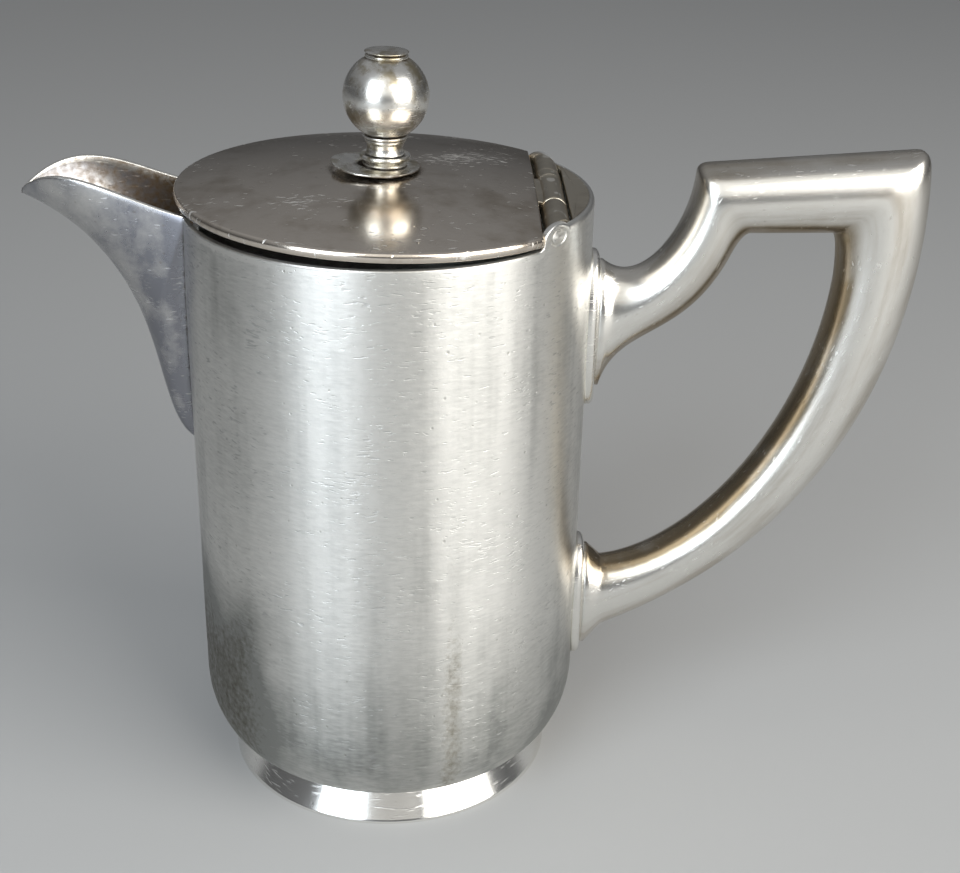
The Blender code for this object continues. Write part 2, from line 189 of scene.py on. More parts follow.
# A plate over a closed outline of (x, y): rows go from the middle of the top out to the edge, over its
# rounding, down and back to the middle of the underside. `top` and `under` give heights at (x, y).
def plateGrid(outline, centre, top, under, rounding, rings=8, turns=6):
    outline = np.vstack([outline, outline[:1]])
    forward = np.roll(outline[:-1], -1, axis=0) - np.roll(outline[:-1], 1, axis=0)
    normal = np.stack([forward[:, 1], -forward[:, 0]], -1)
    normal /= np.linalg.norm(normal, axis=1)[:, None] + 1e-12
    normal = np.vstack([normal, normal[:1]])
    outside = np.sign(((outline - centre) * normal).sum())
    inset = outline - normal * outside * rounding
    scale = np.linspace(0, 1, rings + 1)[:-1, None, None]
    inner = centre + (inset - centre) * scale
    quarter = np.linspace(0, math.pi / 2, turns + 1)
    reach = np.sin(quarter)[:, None, None]
    drop = (1 - np.cos(quarter))[:, None] * rounding
    edge = inset + (outline - inset) * reach
    topRows = np.concatenate([inner, edge])
    topHeights = top(topRows[..., 0], topRows[..., 1])
    topHeights[rings:] = top(inset[:, 0], inset[:, 1]) - drop
    underHeights = under(topRows[..., 0], topRows[..., 1])
    underHeights[rings:] = under(inset[:, 0], inset[:, 1]) + drop
    upper = np.concatenate([topRows, topHeights[..., None]], -1)
    lower = np.concatenate([topRows, underHeights[..., None]], -1)
    return np.concatenate([upper, lower[::-1]])


# Gives a piece its metal, the body that it moves with, its material slot and the nodes that it stands for.
# The slot's name is not used.
def finish(piece, body, slotName, material, *stands):
    piece.data.materials.append(material)
    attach(piece, body)
    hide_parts(*stands)
    return piece


# Adds a node. Inputs go by number or name: a socket is linked and a plain value is set.
def put(tree, kind, inputs=None, **settings):
    node = tree.nodes.new("ShaderNode" + kind)
    node.location = (190 * (len(tree.nodes) % 9), -220 * (len(tree.nodes) // 9))
    for key, value in settings.items():
        setattr(node, key, value)
    for key, value in (inputs or {}).items():
        if isinstance(value, bpy.types.NodeSocket):
            tree.links.new(value, node.inputs[key])
        else:
            node.inputs[key].default_value = value
    return node


# One step of arithmetic on masks. MULTIPLY_ADD is first * second + third.
def calc(tree, operation, *values, clamp=False):
    return put(tree, "Math", dict(enumerate(values)), operation=operation, use_clamp=clamp).outputs[0]


# One vector times another, number by number.
def scaled(tree, vector, factors):
    return put(tree, "VectorMath", {0: vector, 1: factors}, operation="MULTIPLY").outputs[0]


# A cloudy noise at a vector, with its scale, detail and roughness.
def noiseAt(tree, vector, scale, detail, roughness):
    return put(tree, "TexNoise", {0: vector, 2: scale, 3: detail, 4: roughness}).outputs[0]


# A value moved from low..high onto start..end, and held at the ends outside them.
def mapped(tree, value, low, high, start=0.0, end=1.0, kind="LINEAR"):
    inputs = {0: value, 1: low, 2: high, 3: start, 4: end}
    return put(tree, "MapRange", inputs, interpolation_type=kind).outputs[0]


# An empty group and its input sockets: a float makes a value, a triple or None makes a vector.
def newGroup(name, **inputs):
    group = bpy.data.node_groups.new(name, "ShaderNodeTree")
    for label, value in inputs.items():
        kind = "NodeSocketFloat" if isinstance(value, float) else "NodeSocketVector"
        socket = group.interface.new_socket(name=label, in_out="INPUT", socket_type=kind)
        if value is not None:
            socket.default_value = value
    return group, group.nodes.new("NodeGroupInput").outputs


# Links a group's masks to outputs of the same names.
def closeGroup(group, **masks):
    for label in masks:
        group.interface.new_socket(name=label, in_out="OUTPUT", socket_type="NodeSocketFloat")
    leave = group.nodes.new("NodeGroupOutput")
    for label, mask in masks.items():
        group.links.new(mask, leave.inputs[label])
    return group


# Short marks: noise squeezed across the marks and cut off high. A wider noise moves the cut-off, so that
# the marks come in patches.
def makeRubMarks():
    group, given = newGroup("rubMarks", Vector=None, Squeeze=(250, 250, 2400), Turn=(0, 0, 0),
                            Threshold=0.64)
    turned = put(group, "VectorRotate", {"Vector": given["Vector"], "Rotation": given["Turn"]},
                 rotation_type="EULER_XYZ").outputs[0]
    noise = noiseAt(group, scaled(group, turned, given["Squeeze"]), 1.0, 1.5, 0.45)
    wide = noiseAt(group, given["Vector"], 90.0, 2.0, 0.5)
    thinned = calc(group, "MULTIPLY_ADD", wide, 0.3, -0.075)
    level = calc(group, "ADD", thinned, given["Threshold"])
    return closeGroup(group, Mask=mapped(group, calc(group, "SUBTRACT", noise, level), 0.0, 0.06))


# Tarnish: a wide cloudy noise plus streaks drawn out along the third axis, cut to a soft patch.
def makeTarnish():
    group, given = newGroup("tarnish", Vector=None, Scale=40.0, Streaks=(160, 160, 12), Share=0.5, Low=0.42,
                            High=0.72)
    cloud = noiseAt(group, given["Vector"], given["Scale"], 5.0, 0.6)
    streak = noiseAt(group, scaled(group, given["Vector"], given["Streaks"]), 1.0, 3.0, 0.55)
    mixed = put(group, "Mix", {0: given["Share"], 2: cloud, 3: streak}, data_type="FLOAT").outputs[0]
    patch = mapped(group, mixed, given["Low"], given["High"], kind="SMOOTHSTEP")
    return closeGroup(group, Mask=patch, Cloud=cloud)


# Small dings: the distance to scattered cell points, kept only close to them. Each cell's own random
# value sets how large its ding is.
def makeDings():
    group, given = newGroup("dings", Vector=None, Scale=500.0, Size=0.22)
    cells = put(group, "TexVoronoi", {"Vector": given["Vector"], "Scale": given["Scale"]})
    size = calc(group, "MULTIPLY", cells.outputs["Color"], given["Size"])
    near = mapped(group, cells.outputs["Distance"], 0.0, size, 1.0, 0.0, "SMOOTHSTEP")
    return closeGroup(group, Mask=near)


# Wear, and grime with painted shade: the piece's own painted value, broken up by a noise at its borders.
def makeBroken():
    group, given = newGroup("brokenEdge", Value=0.0, Vector=None, Scale=600.0)
    noise = noiseAt(group, given["Vector"], given["Scale"], 4.0, 0.6)
    pushed = calc(group, "SUBTRACT", noise, 0.5)
    moved = calc(group, "MULTIPLY_ADD", pushed, 0.9, given["Value"])
    return closeGroup(group, Mask=mapped(group, moved, 0.25, 0.8))


groups = {"rub": makeRubMarks(), "tarnish": makeTarnish(), "dings": makeDings(), "broken": makeBroken()}
print("shader groups made")


plainLook = {
    "colour": (0.80, 0.785, 0.745),
    "tarnishColour": (0.40, 0.345, 0.26),
    "grimeColour": (0.10, 0.08, 0.06),
    "markColour": (0.93, 0.92, 0.89),
    "roughness": 0.28,
    "rougher": 0.12,  # how much the clouds change the roughness
    "anisotropic": 0.0,
    "useUv": False,
    "tarnish": 0.35,
    "tarnishScale": 45.0,
    "streaks": (170, 170, 14),
    "streakShare": 0.5,
    "low": 0.45,
    "high": 0.72,
    "tarnishAndShadeGain": 2.0,
    "mottle": 0.10,
    "squeeze": (260, 260, 2300),
    "turn": (0.06, 0.04, 0.0),
    "crossSqueeze": 1.25,  # the second set of marks, finer and turned the other way
    "crossTurn": -1.8,
    "threshold": 0.60,
    "scuffs": 0.03,
    "markBright": 0.5,
    "markRough": 0.1,
    "markDepth": 0.000012,
    "dings": 420.0,
    "dingSize": 0.20,
    "dingDark": 0.35,
    "dingDepth": -1.6,  # in mark depths
    "grimeScale": 900.0,
    "grimeRough": 0.3,
    "brushing": (1500, 1500, 1500),
    "grainDepth": 0.35,
    "waves": 330.0,
    "waveDepth": 0.0,
}


# Worn plate: clouded tarnish over a clean metal, bright rubbed marks, dark grime in the corners, and painted
# shade where a piece's own values darken it through the tarnish and grime colours.
# Base colour, roughness and height all follow the same masks.
def wornSilver(name, **changes):
    look = {**plainLook, **changes}
    material = bpy.data.materials.new(name)
    material.use_nodes = True
    tree = material.node_tree
    shader = tree.nodes["Principled BSDF"]
    shader.inputs["Metallic"].default_value = 1.0
    shader.inputs["Anisotropic"].default_value = look["anisotropic"]
    shader.inputs["Anisotropic Rotation"].default_value = 0.25
    if look["anisotropic"] > 0:
        tangent = put(tree, "Tangent", direction_type="UV_MAP", uv_map="UVMap")
        tree.links.new(tangent.outputs[0], shader.inputs["Tangent"])
    spot = put(tree, "TexCoord").outputs["UV" if look["useUv"] else "Object"]
    wear, grime, tarnishAndShade = [put(tree, "Attribute", attribute_name=label).outputs["Fac"]
                          for label in ("wear", "grime", "tarnishAndShade")]

    def effect(kind, **inputs):
        return put(tree, "Group", {"Vector": spot, **inputs}, node_tree=groups[kind]).outputs

    def blended(share, first, second):
        return put(tree, "Mix", {0: share, 6: first, 7: second}, data_type="RGBA").outputs[2]

    tarnish = effect("tarnish", Scale=look["tarnishScale"], Streaks=look["streaks"],
                     Share=look["streakShare"], Low=look["low"], High=look["high"])
    scuffed = calc(tree, "MULTIPLY_ADD", wear, -look["scuffs"], look["threshold"])
    marks = effect("rub", Squeeze=look["squeeze"], Turn=look["turn"], Threshold=scuffed)
    cross = effect("rub", Squeeze=[look["crossSqueeze"] * s for s in look["squeeze"]],
                   Turn=[look["crossTurn"] * s for s in look["turn"]], Threshold=scuffed)
    anyMark = calc(tree, "MAXIMUM", marks["Mask"], cross["Mask"])
    dings = effect("dings", Scale=look["dings"], Size=look["dingSize"])["Mask"]
    grain = noiseAt(tree, scaled(tree, spot, look["brushing"]), 1.0, 4.0, 0.65)
    waves = noiseAt(tree, spot, look["waves"], 3.0, 0.6)
    rubbed = effect("broken", Value=wear)["Mask"]
    soiledAndShaded = effect("broken", Value=grime, Scale=look["grimeScale"])["Mask"]

    # Colour: tarnish and painted shade unless rubbed off, then the bright marks, then dirt and painted shade
    # on top.
    clean, dull, bright, dirtAndShade = [(*look[key], 1) for key in ("colour", "tarnishColour", "markColour",
                                                             "grimeColour")]
    amount = calc(tree, "MULTIPLY_ADD", tarnish["Mask"], look["tarnish"], -look["mottle"] / 2)
    speckled = calc(tree, "MULTIPLY_ADD", grain, look["mottle"], amount)
    clouded = calc(tree, "MULTIPLY", tarnishAndShade, tarnish["Cloud"])
    painted = calc(tree, "MULTIPLY_ADD", clouded, look["tarnishAndShadeGain"], speckled, clamp=True)
    metal = blended(calc(tree, "SUBTRACT", painted, rubbed, clamp=True), clean, dull)
    metal = blended(calc(tree, "MULTIPLY", anyMark, look["markBright"]), metal, bright)
    pitted = calc(tree, "MULTIPLY", dings, look["dingDark"])
    metal = blended(calc(tree, "MAXIMUM", pitted, soiledAndShaded), metal, dirtAndShade)
    tree.links.new(metal, shader.inputs["Base Color"])

    # Roughness: the clouds about its middle value, rougher marks, and duller grime and painted shade.
    satin = calc(tree, "MULTIPLY_ADD", tarnish["Cloud"], look["rougher"],
                 look["roughness"] - look["rougher"] / 2)
    scattered = calc(tree, "MULTIPLY_ADD", anyMark, look["markRough"], satin)
    duller = calc(tree, "MULTIPLY_ADD", soiledAndShaded, look["grimeRough"], scattered, clamp=True)
    tree.links.new(duller, shader.inputs["Roughness"])

    # Height, in mark depths: marks and dings cut in, brushing and slow waves on top.
    height = calc(tree, "MULTIPLY_ADD", dings, look["dingDepth"], calc(tree, "MULTIPLY", anyMark, -1.0))
    height = calc(tree, "MULTIPLY_ADD", grain, look["grainDepth"], height)
    height = calc(tree, "MULTIPLY_ADD", waves, look["waveDepth"], height)
    bump = put(tree, "Bump", {"Strength": 1.0, "Distance": look["markDepth"], "Height": height})
    tree.links.new(bump.outputs[0], shader.inputs["Normal"])
    return material


# The body's darker colour also takes the painted shade low on the wall.
bodySilver = wornSilver("bodySilver", anisotropic=0.7, roughness=0.38, tarnish=0.5, tarnishScale=38.0,
                        streaks=(150, 150, 9), streakShare=0.62,
                        markColour=(0.42, 0.42, 0.41), markDepth=0.000022, colour=(0.81, 0.80, 0.765),
                        tarnishColour=(0.295, 0.30, 0.285), squeeze=(430, 430, 2200),
                        brushing=(400, 400, 1900), grainDepth=0.9, mottle=0.7, waveDepth=1.6,
                        grimeColour=(0.115, 0.10, 0.065))
footSilver = wornSilver("footSilver", roughness=0.16, scuffs=0.0, tarnish=0.15, markDepth=0.000006,
                        colour=(0.86, 0.85, 0.82))
# The spout's darker colour is where its painted shade goes.
spoutSilver = wornSilver("spoutSilver", roughness=0.27, tarnish=0.22, tarnishScale=130.0, streakShare=0.45,
                         low=0.40, tarnishColour=(0.27, 0.275, 0.305),
                         grimeColour=(0.16, 0.11, 0.065), threshold=0.615, squeeze=(430, 430, 2200),
                         markBright=0.3, mottle=0.3)
lidSilver = wornSilver("lidSilver", roughness=0.17, rougher=0.16, scuffs=0.19, markRough=0.35, tarnish=0.8,
                       colour=(0.72, 0.65, 0.57), tarnishColour=(0.38, 0.31, 0.23), threshold=0.66,
                       squeeze=(380, 1900, 380), turn=(0.0, 0.0, 0.25), markBright=0.8,
                       markDepth=0.000025, brushing=(900, 2600, 900), grainDepth=0.12, mottle=0.5)
edgeSilver = wornSilver("finialSilver", roughness=0.27, tarnish=0.95, tarnishScale=260.0, streakShare=0.1,
                        markDepth=0.00001, tarnishColour=(0.36, 0.31, 0.21),
                        low=0.44, high=0.66, dings=700.0, dingSize=0.32, mottle=0.4)
# The handle's brown darker colour takes both its tarnish and its painted shade.
handleSilver = wornSilver("handleSilver", roughness=0.25, tarnish=0.6, useUv=True,
                          squeeze=(1800, 380, 300), turn=(0.0, 0.0, 0.2), streaks=(230, 22, 12),
                          streakShare=0.6, low=0.42, markDepth=0.00001, threshold=0.64,
                          tarnishColour=(0.31, 0.25, 0.17), brushing=(3600, 260, 1), grainDepth=1.0,
                          mottle=0.25)
saddleSilver = wornSilver("saddleSilver", roughness=0.26, scuffs=0.0, threshold=0.64, tarnish=0.5,
                          tarnishColour=(0.40, 0.34, 0.24), mottle=0.3)
hingeSilver = wornSilver("hingeSilver", roughness=0.32, tarnish=0.9, colour=(0.52, 0.47, 0.38),
                         tarnishColour=(0.27, 0.23, 0.17))
boltBrass = wornSilver("boltBrass", roughness=0.3, tarnish=0.5, colour=(0.74, 0.60, 0.36),
                       tarnishColour=(0.35, 0.26, 0.13))
print("materials made")


body = {
    "wall": 0.0010,
    "rim": 0.1081,
    "rearRim": 0.1107,
    "earRadius": 0.00235,
    "filletWidth": 0.0009,
    "filletHeight": 0.0007,
    "floor": 0.0055,
    "cornerWidth": 0.009,
    "cornerHeight": 0.013,
    "rimRound": 0.0003,
    "rearRound": 0.0009,
    "pinRadius": 0.0011,
    "pourLow": 0.074,
    "spoutLow": 0.0635,
    "spoutHalf": 0.0106,
    "spoutPower": 0.8,
    "wobble": 0.00005,
    "pinWell": 0.00022,
    "closeRows": 0.0055,  # how far below the rim the rows stay close
}
# Where the dark patch and the olive run lie: ranges of the angle in degrees and of the height over which
# they fade.
darkPatches = {
    "patchStart": (168, 194),
    "patchEnd": (222, 242),
    "patchTop": (0.030, 0.056),
    "patchFoot": (0.003, 0.014),
    "patchSpeckledDark": 0.47,
    "patchSmoothDark": 1.1,
    "run": (290, 3.8),  # middle and width
    "runTop": (0.030, 0.062),
    "runFoot": (0.003, 0.010),
    "runGrime": 0.50,
}


# Half width of the spout's foot on the wall: its widest times a power of the share of the rise.
def spoutHalfWidth(height):
    rise = np.clip((height - body["spoutLow"]) / (body["rim"] - body["spoutLow"]), 0, None)
    return body["spoutHalf"] * rise ** body["spoutPower"]


# Height of the wall's top all round: the low rim in front, the higher rim behind the hinge, an arc over
# each pin end, and a V down to pourLow behind the spout.
def rimHeight(x, y):
    reach = body["earRadius"] ** 2 - (x - hingeX) ** 2
    ear = hingeZ + np.sqrt(np.clip(reach, 0, None)) * (reach > 0)
    ear = np.where(reach > 0, ear, 0)
    height = np.maximum(np.where(x > hingeX, body["rearRim"], body["rim"]), ear)
    fall = np.clip((hingeX - x - body["earRadius"]) / body["filletWidth"], 0, 1)
    foot = body["rim"] + body["filletHeight"] * (1 - fall) ** 2
    height = np.where(x < hingeX, np.maximum(height, foot), height)
    narrow = spoutHalfWidth(body["pourLow"])
    rise = ((np.abs(y) + narrow) / body["spoutHalf"]) ** (1 / body["spoutPower"])
    pour = body["spoutLow"] + (body["rim"] - body["spoutLow"]) * rise
    return np.where(x < 0, np.minimum(height, pour), height)


# The drawn cup: rows run from the middle of the floor inside, up the wall, over the rim, down the outside
# and round the lower corner to the middle underneath. Columns go all round, closer at the ears and spout.
def buildBody():
    earAngle = math.acos(hingeX / bodyRadius)
    near = np.radians(np.arange(-10.5, 10.6, 0.25))  # close columns at each ear
    pour = np.radians(np.arange(-13.0, 13.1, 0.5))  # and at the spout
    angle = np.concatenate([np.linspace(0, math.tau, 289), earAngle + near,
                            math.tau - earAngle + near, math.pi + pour])
    columnStep = 0.002  # no two columns closer than this
    angle = np.unique(np.round(angle / columnStep)) * columnStep
    angle[-1] = math.tau
    x = bodyRadius * np.cos(angle)
    y = bodyRadius * np.sin(angle)
    rim = rimHeight(x, y)
    rear = ease(hingeX - 0.0035, hingeX + 0.002, x)
    outerRound = body["rimRound"] + (body["rearRound"] - body["rimRound"]) * rear
    innerRound = 0.00015
    inside = bodyRadius - body["wall"]
    cornerTop = body["floor"] + body["cornerHeight"]

    def corner(inset, steps):
        turn = np.linspace(0, math.pi / 2, steps)
        radius = bodyRadius - body["cornerWidth"] + (body["cornerWidth"] - inset) * np.cos(turn)
        return radius, cornerTop - (body["cornerHeight"] - inset) * np.sin(turn)

    parts = []

    def add(radius, height):  # a stretch of rows, spread over every column
        parts.append(np.stack(np.broadcast_arrays(radius, height, angle)[:2]))

    # Inside: the floor, its corner, the wall and the rim's two roundings.
    cornerRadius, cornerHeight = corner(body["wall"], 12)
    add(np.linspace(0, cornerRadius[-1], 8)[:-1, None], cornerHeight[-1])
    add(cornerRadius[::-1, None], cornerHeight[::-1, None])
    add(inside, cornerTop + (rim - innerRound - cornerTop) * np.linspace(0, 1, 22)[1:-1, None])
    turn = np.linspace(0, math.pi / 2, 5)[:, None]
    add(inside + innerRound * (1 - np.cos(turn)), rim - innerRound * (1 - np.sin(turn)))
    turn = np.linspace(math.pi / 2, 0, 9)[:, None]
    add(bodyRadius - outerRound * (1 - np.cos(turn)), rim - outerRound * (1 - np.sin(turn)))
    innerRows = sum(part.shape[1] for part in parts)
    # Outside: close rows below the rim, even ones down to the corner, the corner and the underside.
    start = rim - outerRound
    closeDepth = np.minimum(body["closeRows"], (start - cornerTop) * 0.5)
    add(bodyRadius, start - closeDepth * np.linspace(0, 1, 40)[1:, None])
    evenDepth = start - closeDepth - cornerTop
    add(bodyRadius, start - closeDepth - evenDepth * np.linspace(0, 1, 60)[1:-1, None])
    cornerRadius, cornerHeight = corner(0.0, 26)
    add(cornerRadius[:, None], cornerHeight[:, None])
    add(np.linspace(cornerRadius[-1], 0, 6)[1:, None], body["floor"])
    radii, heights = np.concatenate(parts, axis=1)

    # Slight waves in the drawn wall, and a well round each end of the pin.
    outer = np.arange(len(radii))[:, None] >= innerRows
    meeting = ease(0.0, 0.5, angle) * (1 - ease(math.tau - 0.5, math.tau, angle))  # the wall closes here
    calm = ease(0.0, 0.02, heights) * ease(0.0, 0.02, radii) * meeting * outer
    radii = radii + body["wobble"] * uneven(angle * 3, heights * 120, 1.3) * calm
    place = radii * np.cos(angle)
    fromPin = np.hypot(place - hingeX, heights - hingeZ)
    well = 1 - ease(body["pinRadius"] + 0.0001, body["pinRadius"] + 0.00032, fromPin)
    radii = radii - body["pinWell"] * well * outer
    grid = circled(radii, angle, heights)
    edgeWear = bell(heights, rim, 0.0012) * outer
    low = bell(heights, body["floor"], 0.0015) * outer * (radii > 0.02)
    seam = bell(np.abs(grid[..., 1]) - spoutHalfWidth(heights), 0.0004, 0.0006) * (grid[..., 0] < 0) * outer
    seam = seam * (heights > body["spoutLow"] - 0.001)
    pinRing = bell(fromPin, body["pinRadius"] + 0.0002, 0.00025) * outer
    grime = low * 0.8 + seam * 0.7 + pinRing * 0.3
    # Two dark marks with ragged borders: a patch low beside the spout, and a thin olive stain run in front.
    side = np.degrees(angle)
    raggedSide = side + 6 * uneven(angle * 2, heights * 90, 2.2)
    raggedHeight = heights + 0.006 * uneven(angle * 3, heights * 60, 4.1)
    patch = ease(*darkPatches["patchStart"], side) * (1 - ease(*darkPatches["patchEnd"], raggedSide))
    patch = patch * (1 - ease(*darkPatches["patchTop"], raggedHeight)) * ease(*darkPatches["patchFoot"], heights)
    run = bell(side, *darkPatches["run"]) * (1 - ease(*darkPatches["runTop"], heights))
    run = run * ease(*darkPatches["runFoot"], heights)
    patchesDark = darkPatches["patchSpeckledDark"] * patch + darkPatches["runGrime"] * run
    grime = np.clip(grime + patchesDark * outer, 0, 1)
    # Darker towards the foot: painted shade for the darker reflection low on the wall. Darker still low
    # beside the spout.
    tarnishAndShade = 0.65 * (1 - ease(0.014, 0.052, heights)) + 0.12 * bell(side, 278, 5)
    tarnishAndShade = tarnishAndShade + 0.9 * bell(side, 198, 12) * (1 - ease(0.025, 0.060, heights))
    tarnishAndShade = tarnishAndShade + darkPatches["patchSmoothDark"] * patch
    tarnishAndShade = (tarnishAndShade + 0.18 * bell(side, 226, 16)) * outer
    # The map is the length round the wall and the height, so that the brushing runs level everywhere.
    uv = np.stack([bodyRadius * angle + 0 * heights, heights - (bodyRadius - radii)], -1)
    return skin("body", grid, edgeWear, grime, tarnishAndShade, uv)


finish(buildBody(), "jug", "body_silver", bodySilver, "body_shell")
print("body made")


foot = {"width": 0.0016, "over": 0.0007, "lip": 0.0005, "draw": 0.0028, "top": 0.0061}


# A flared ring: an upright lip where it stands, a straight cone above it, and the joint with the body.
def buildFoot():
    wide, width = footRadius + foot["over"], foot["width"]
    narrow = wide - foot["draw"]
    profile = softened([(wide - width, 0.0, 0.0002), (wide, 0.0, 0.0002), (wide, foot["lip"], 0.0004),
                        (narrow, 0.0053, 0.0003), (narrow + 0.0001, foot["top"], 0.0001),
                        (narrow - width, foot["top"], 0.0001), (narrow - width, 0.0048, 0.0005),
                        (wide - width, 0.0, 0.0002)])
    grid = turnedGrid(np.vstack([profile, profile[:1]]), 288)
    height = grid[..., 2]
    return skin("footRing", grid, bell(height, 0.0, 0.0008), bell(height, foot["top"], 0.0005))


finish(buildFoot(), "jug", "foot_silver", footSilver, "foot_ring")
print("foot made")


spout = {
    "sheet": 0.0009,
    "rows": 121,
    "across": 65,  # columns over each face of the sheet
    "lip": 5,  # columns round each lip
    "keel": [(-0.035, 0, 0.0635), (-0.0436, 0, 0.0688), (-0.0360, 0, 0.0989), (-0.062, 0, 0.1090)],
    "rim": [(-0.0333, 0.0106, 0.1081), (-0.0440, 0.0087, 0.1101), (-0.0534, 0.0109, 0.1180),
            (-0.0617, 0.0006, 0.1099)],
}


# Each row is a rib: from the keel to the edge it follows keel + (edge - keel)(1 - cos a) and
# y = half sin a. The edge climbs its foot on the wall for the first half of s, then runs out along the rim.
def buildSpout():
    s = np.linspace(0, 1, spout["rows"]) ** 0.9
    keel = cubic(spout["keel"], s)
    climb = np.clip(2 * s, 0, 1)
    height = body["spoutLow"] + (body["rim"] - body["spoutLow"]) * climb
    across = spoutHalfWidth(height)
    foot = np.stack([-np.sqrt(bodyRadius**2 - across**2), across, height], -1)
    edge = np.where((s < 0.5)[:, None], foot, cubic(spout["rim"], np.clip(2 * s - 1, 0, 1)))
    sunk = 0.0006  # the foot's edge lies this far into the wall
    edge[:, 0] += np.where(s < 0.5, sunk, sunk * (1 - s) * 2)
    turn = np.linspace(-math.pi / 2, math.pi / 2, spout["across"])
    along = (1 - np.cos(turn))[None, :, None]
    rib = keel[:, None] * (1 - along) + edge[:, None] * along
    rib[..., 1] = edge[:, 1:2] * np.sin(turn)
    down = np.gradient(rib, axis=0)
    over = np.gradient(rib, axis=1)
    normal = np.cross(over, down)
    normal /= np.linalg.norm(normal, axis=2)[..., None] + 1e-15
    middle = normal[:, spout["across"] // 2]
    normal *= np.where((middle[:, 0] > 0)[:, None, None], 1, -1)  # the keel's inside faces the body
    thick = spout["sheet"] * ease(0.0, 0.12, s) * (1 - 0.45 * ease(0.85, 1.0, s))
    inner = rib + normal * thick[:, None, None]
    inner[..., 1] = np.sign(rib[..., 1]) * np.minimum(np.abs(inner[..., 1]), np.abs(rib[..., 1]))
    half = thick[:, None, None] / 2
    ring = np.linspace(0, math.pi, spout["lip"] + 2)[1:-1][None, :, None]
    up = np.array([0, 0, 1.0])

    def lip(a, b):
        centre, reach = (a + b)[:, None] / 2, (a - b)[:, None] / 2
        return centre + reach * np.cos(ring) + up * half * 0.7 * np.sin(ring)

    ribs = np.concatenate([rib, lip(rib[:, -1], inner[:, -1]), inner[:, ::-1],
                           lip(inner[:, 0], rib[:, 0]), rib[:, :1]], axis=1)
    tip = np.broadcast_to(ribs[-1:].mean(1, keepdims=True), ribs[-1:].shape)
    root = np.broadcast_to(ribs[:1].mean(1, keepdims=True), ribs[:1].shape)
    grid = np.concatenate([root, ribs[1:], tip])
    column = np.arange(grid.shape[1])
    turnedIn = spout["across"] + spout["lip"]  # the first column inside
    inside = (column >= turnedIn) & (column <= turnedIn + spout["across"])
    wear = np.zeros(grid.shape[:2])
    wear[:, spout["across"] - 3:turnedIn + 2] = 1.0  # both lips, and a little of the faces beside them
    wear[:, -spout["lip"] - 4:] = 1.0
    # Painted shade inside the spout, deepest towards the body; it goes in with the grime.
    tarnishAndShade = inside * (0.35 + 0.4 * ease(-0.060, -0.036, grid[..., 0]))
    touch = bell(grid[..., 0], -np.sqrt(bodyRadius**2 - np.clip(grid[..., 1], -0.03, 0.03) ** 2), 0.0007)
    touch = touch * (grid[..., 2] < body["rim"] - 0.002)
    outside = column < spout["across"] - 5
    # Painted shade on the outside, deeper towards the wall and in a band along its root; the inside darker
    # still.
    shade = outside * (0.55 + 0.25 * ease(-0.052, -0.040, grid[..., 0])) + 0.8 * inside
    shade = shade + 0.5 * outside * bell(grid[..., 0], -0.0350, 0.0013)
    return skin("spoutSheet", grid, wear, np.clip(tarnishAndShade + touch * 0.25, 0, 1), shade)


finish(buildSpout(), "jug", "spout_silver", spoutSilver, "spout")
print("spout made")


hinge = {"barrel": 0.0022, "bore": 0.0014, "pin": 0.0011, "middle": 0.0144, "gap": 0.0003, "bead": 0.00012,
         "bevel": 0.0002, "platePlay": 0.0003, "plateThick": 0.0012}


# A tube about the hinge's axis. Its profile is (radius, share), where share 0 and 1 are the two ends, and
# an end that meets the wall follows the wall's inside at that place.
def buildKnuckle(low, high, lowOnWall, highOnWall, collars):
    angle = np.linspace(0, math.tau, 65)
    outer, bore, bevel = hinge["barrel"], hinge["bore"], hinge["bevel"]
    length = abs(high - low)
    spots = np.linspace(bevel, length - bevel, 60)
    bead = sum(hinge["bead"] * bell(spots, at, 0.00022) for at in collars) if collars else 0 * spots
    radius = np.concatenate([[bore, outer - bevel, outer - bevel * 0.3], outer + bead,
                             [outer - bevel * 0.3, outer - bevel, bore, bore, bore]])
    along = np.concatenate([[0, 0, bevel * 0.3], spots,
                            [length - bevel * 0.3, length, length, length / 2, 0]])
    x = hingeX + radius[:, None] * np.cos(angle)
    z = hingeZ + radius[:, None] * np.sin(angle)
    share = (along / length)[:, None] + 0 * angle
    wallInside = np.sqrt((bodyRadius - body["wall"] - 0.00005) ** 2 - x**2)
    start = -wallInside if lowOnWall else low + 0 * x
    end = wallInside if highOnWall else high + 0 * x
    grid = np.stack([x, start + (end - start) * share, z], -1)
    wear = np.broadcast_to(np.minimum(bead / hinge["bead"], 1) if collars else 0, spots.shape)
    wear = np.concatenate([[0.7] * 3, wear, [0.7] * 2, [0] * 3])[:, None]
    grime = np.concatenate([[0.6] * 2, [0] * (len(spots) + 2), [0.6] * 4])[:, None]
    return grid, wear, grime


# The fixed half-moon behind the hinge: an arc just inside the wall, closed by a straight edge.
def buildRearPlate():
    straight = hingeX + hinge["barrel"] + hinge["platePlay"]
    radius = bodyRadius - body["wall"] + 0.0001
    half = math.acos(straight / radius)
    angle = np.linspace(-half, half, 61)
    arc = np.stack([radius * np.cos(angle), radius * np.sin(angle)], -1)
    back = np.linspace(arc[-1], arc[0], 41)[1:-1]
    outline = np.vstack([arc, back])
    centre = np.array([(straight + radius) / 2, 0])
    top = body["rearRim"] - 0.00002

    def upper(x, y):
        return top + 0.00004 * uneven(x * 900, y * 500, 2.1)

    def under(x, y):
        return top - hinge["plateThick"] + 0 * x

    grid = plateGrid(outline, centre, upper, under, 0.00015)
    edge = bell(grid[..., 0], straight, 0.0004)
    return skin("rearPlate", grid, edge, 0.5 * bell(np.hypot(grid[..., 0], grid[..., 1]), radius, 0.0003))


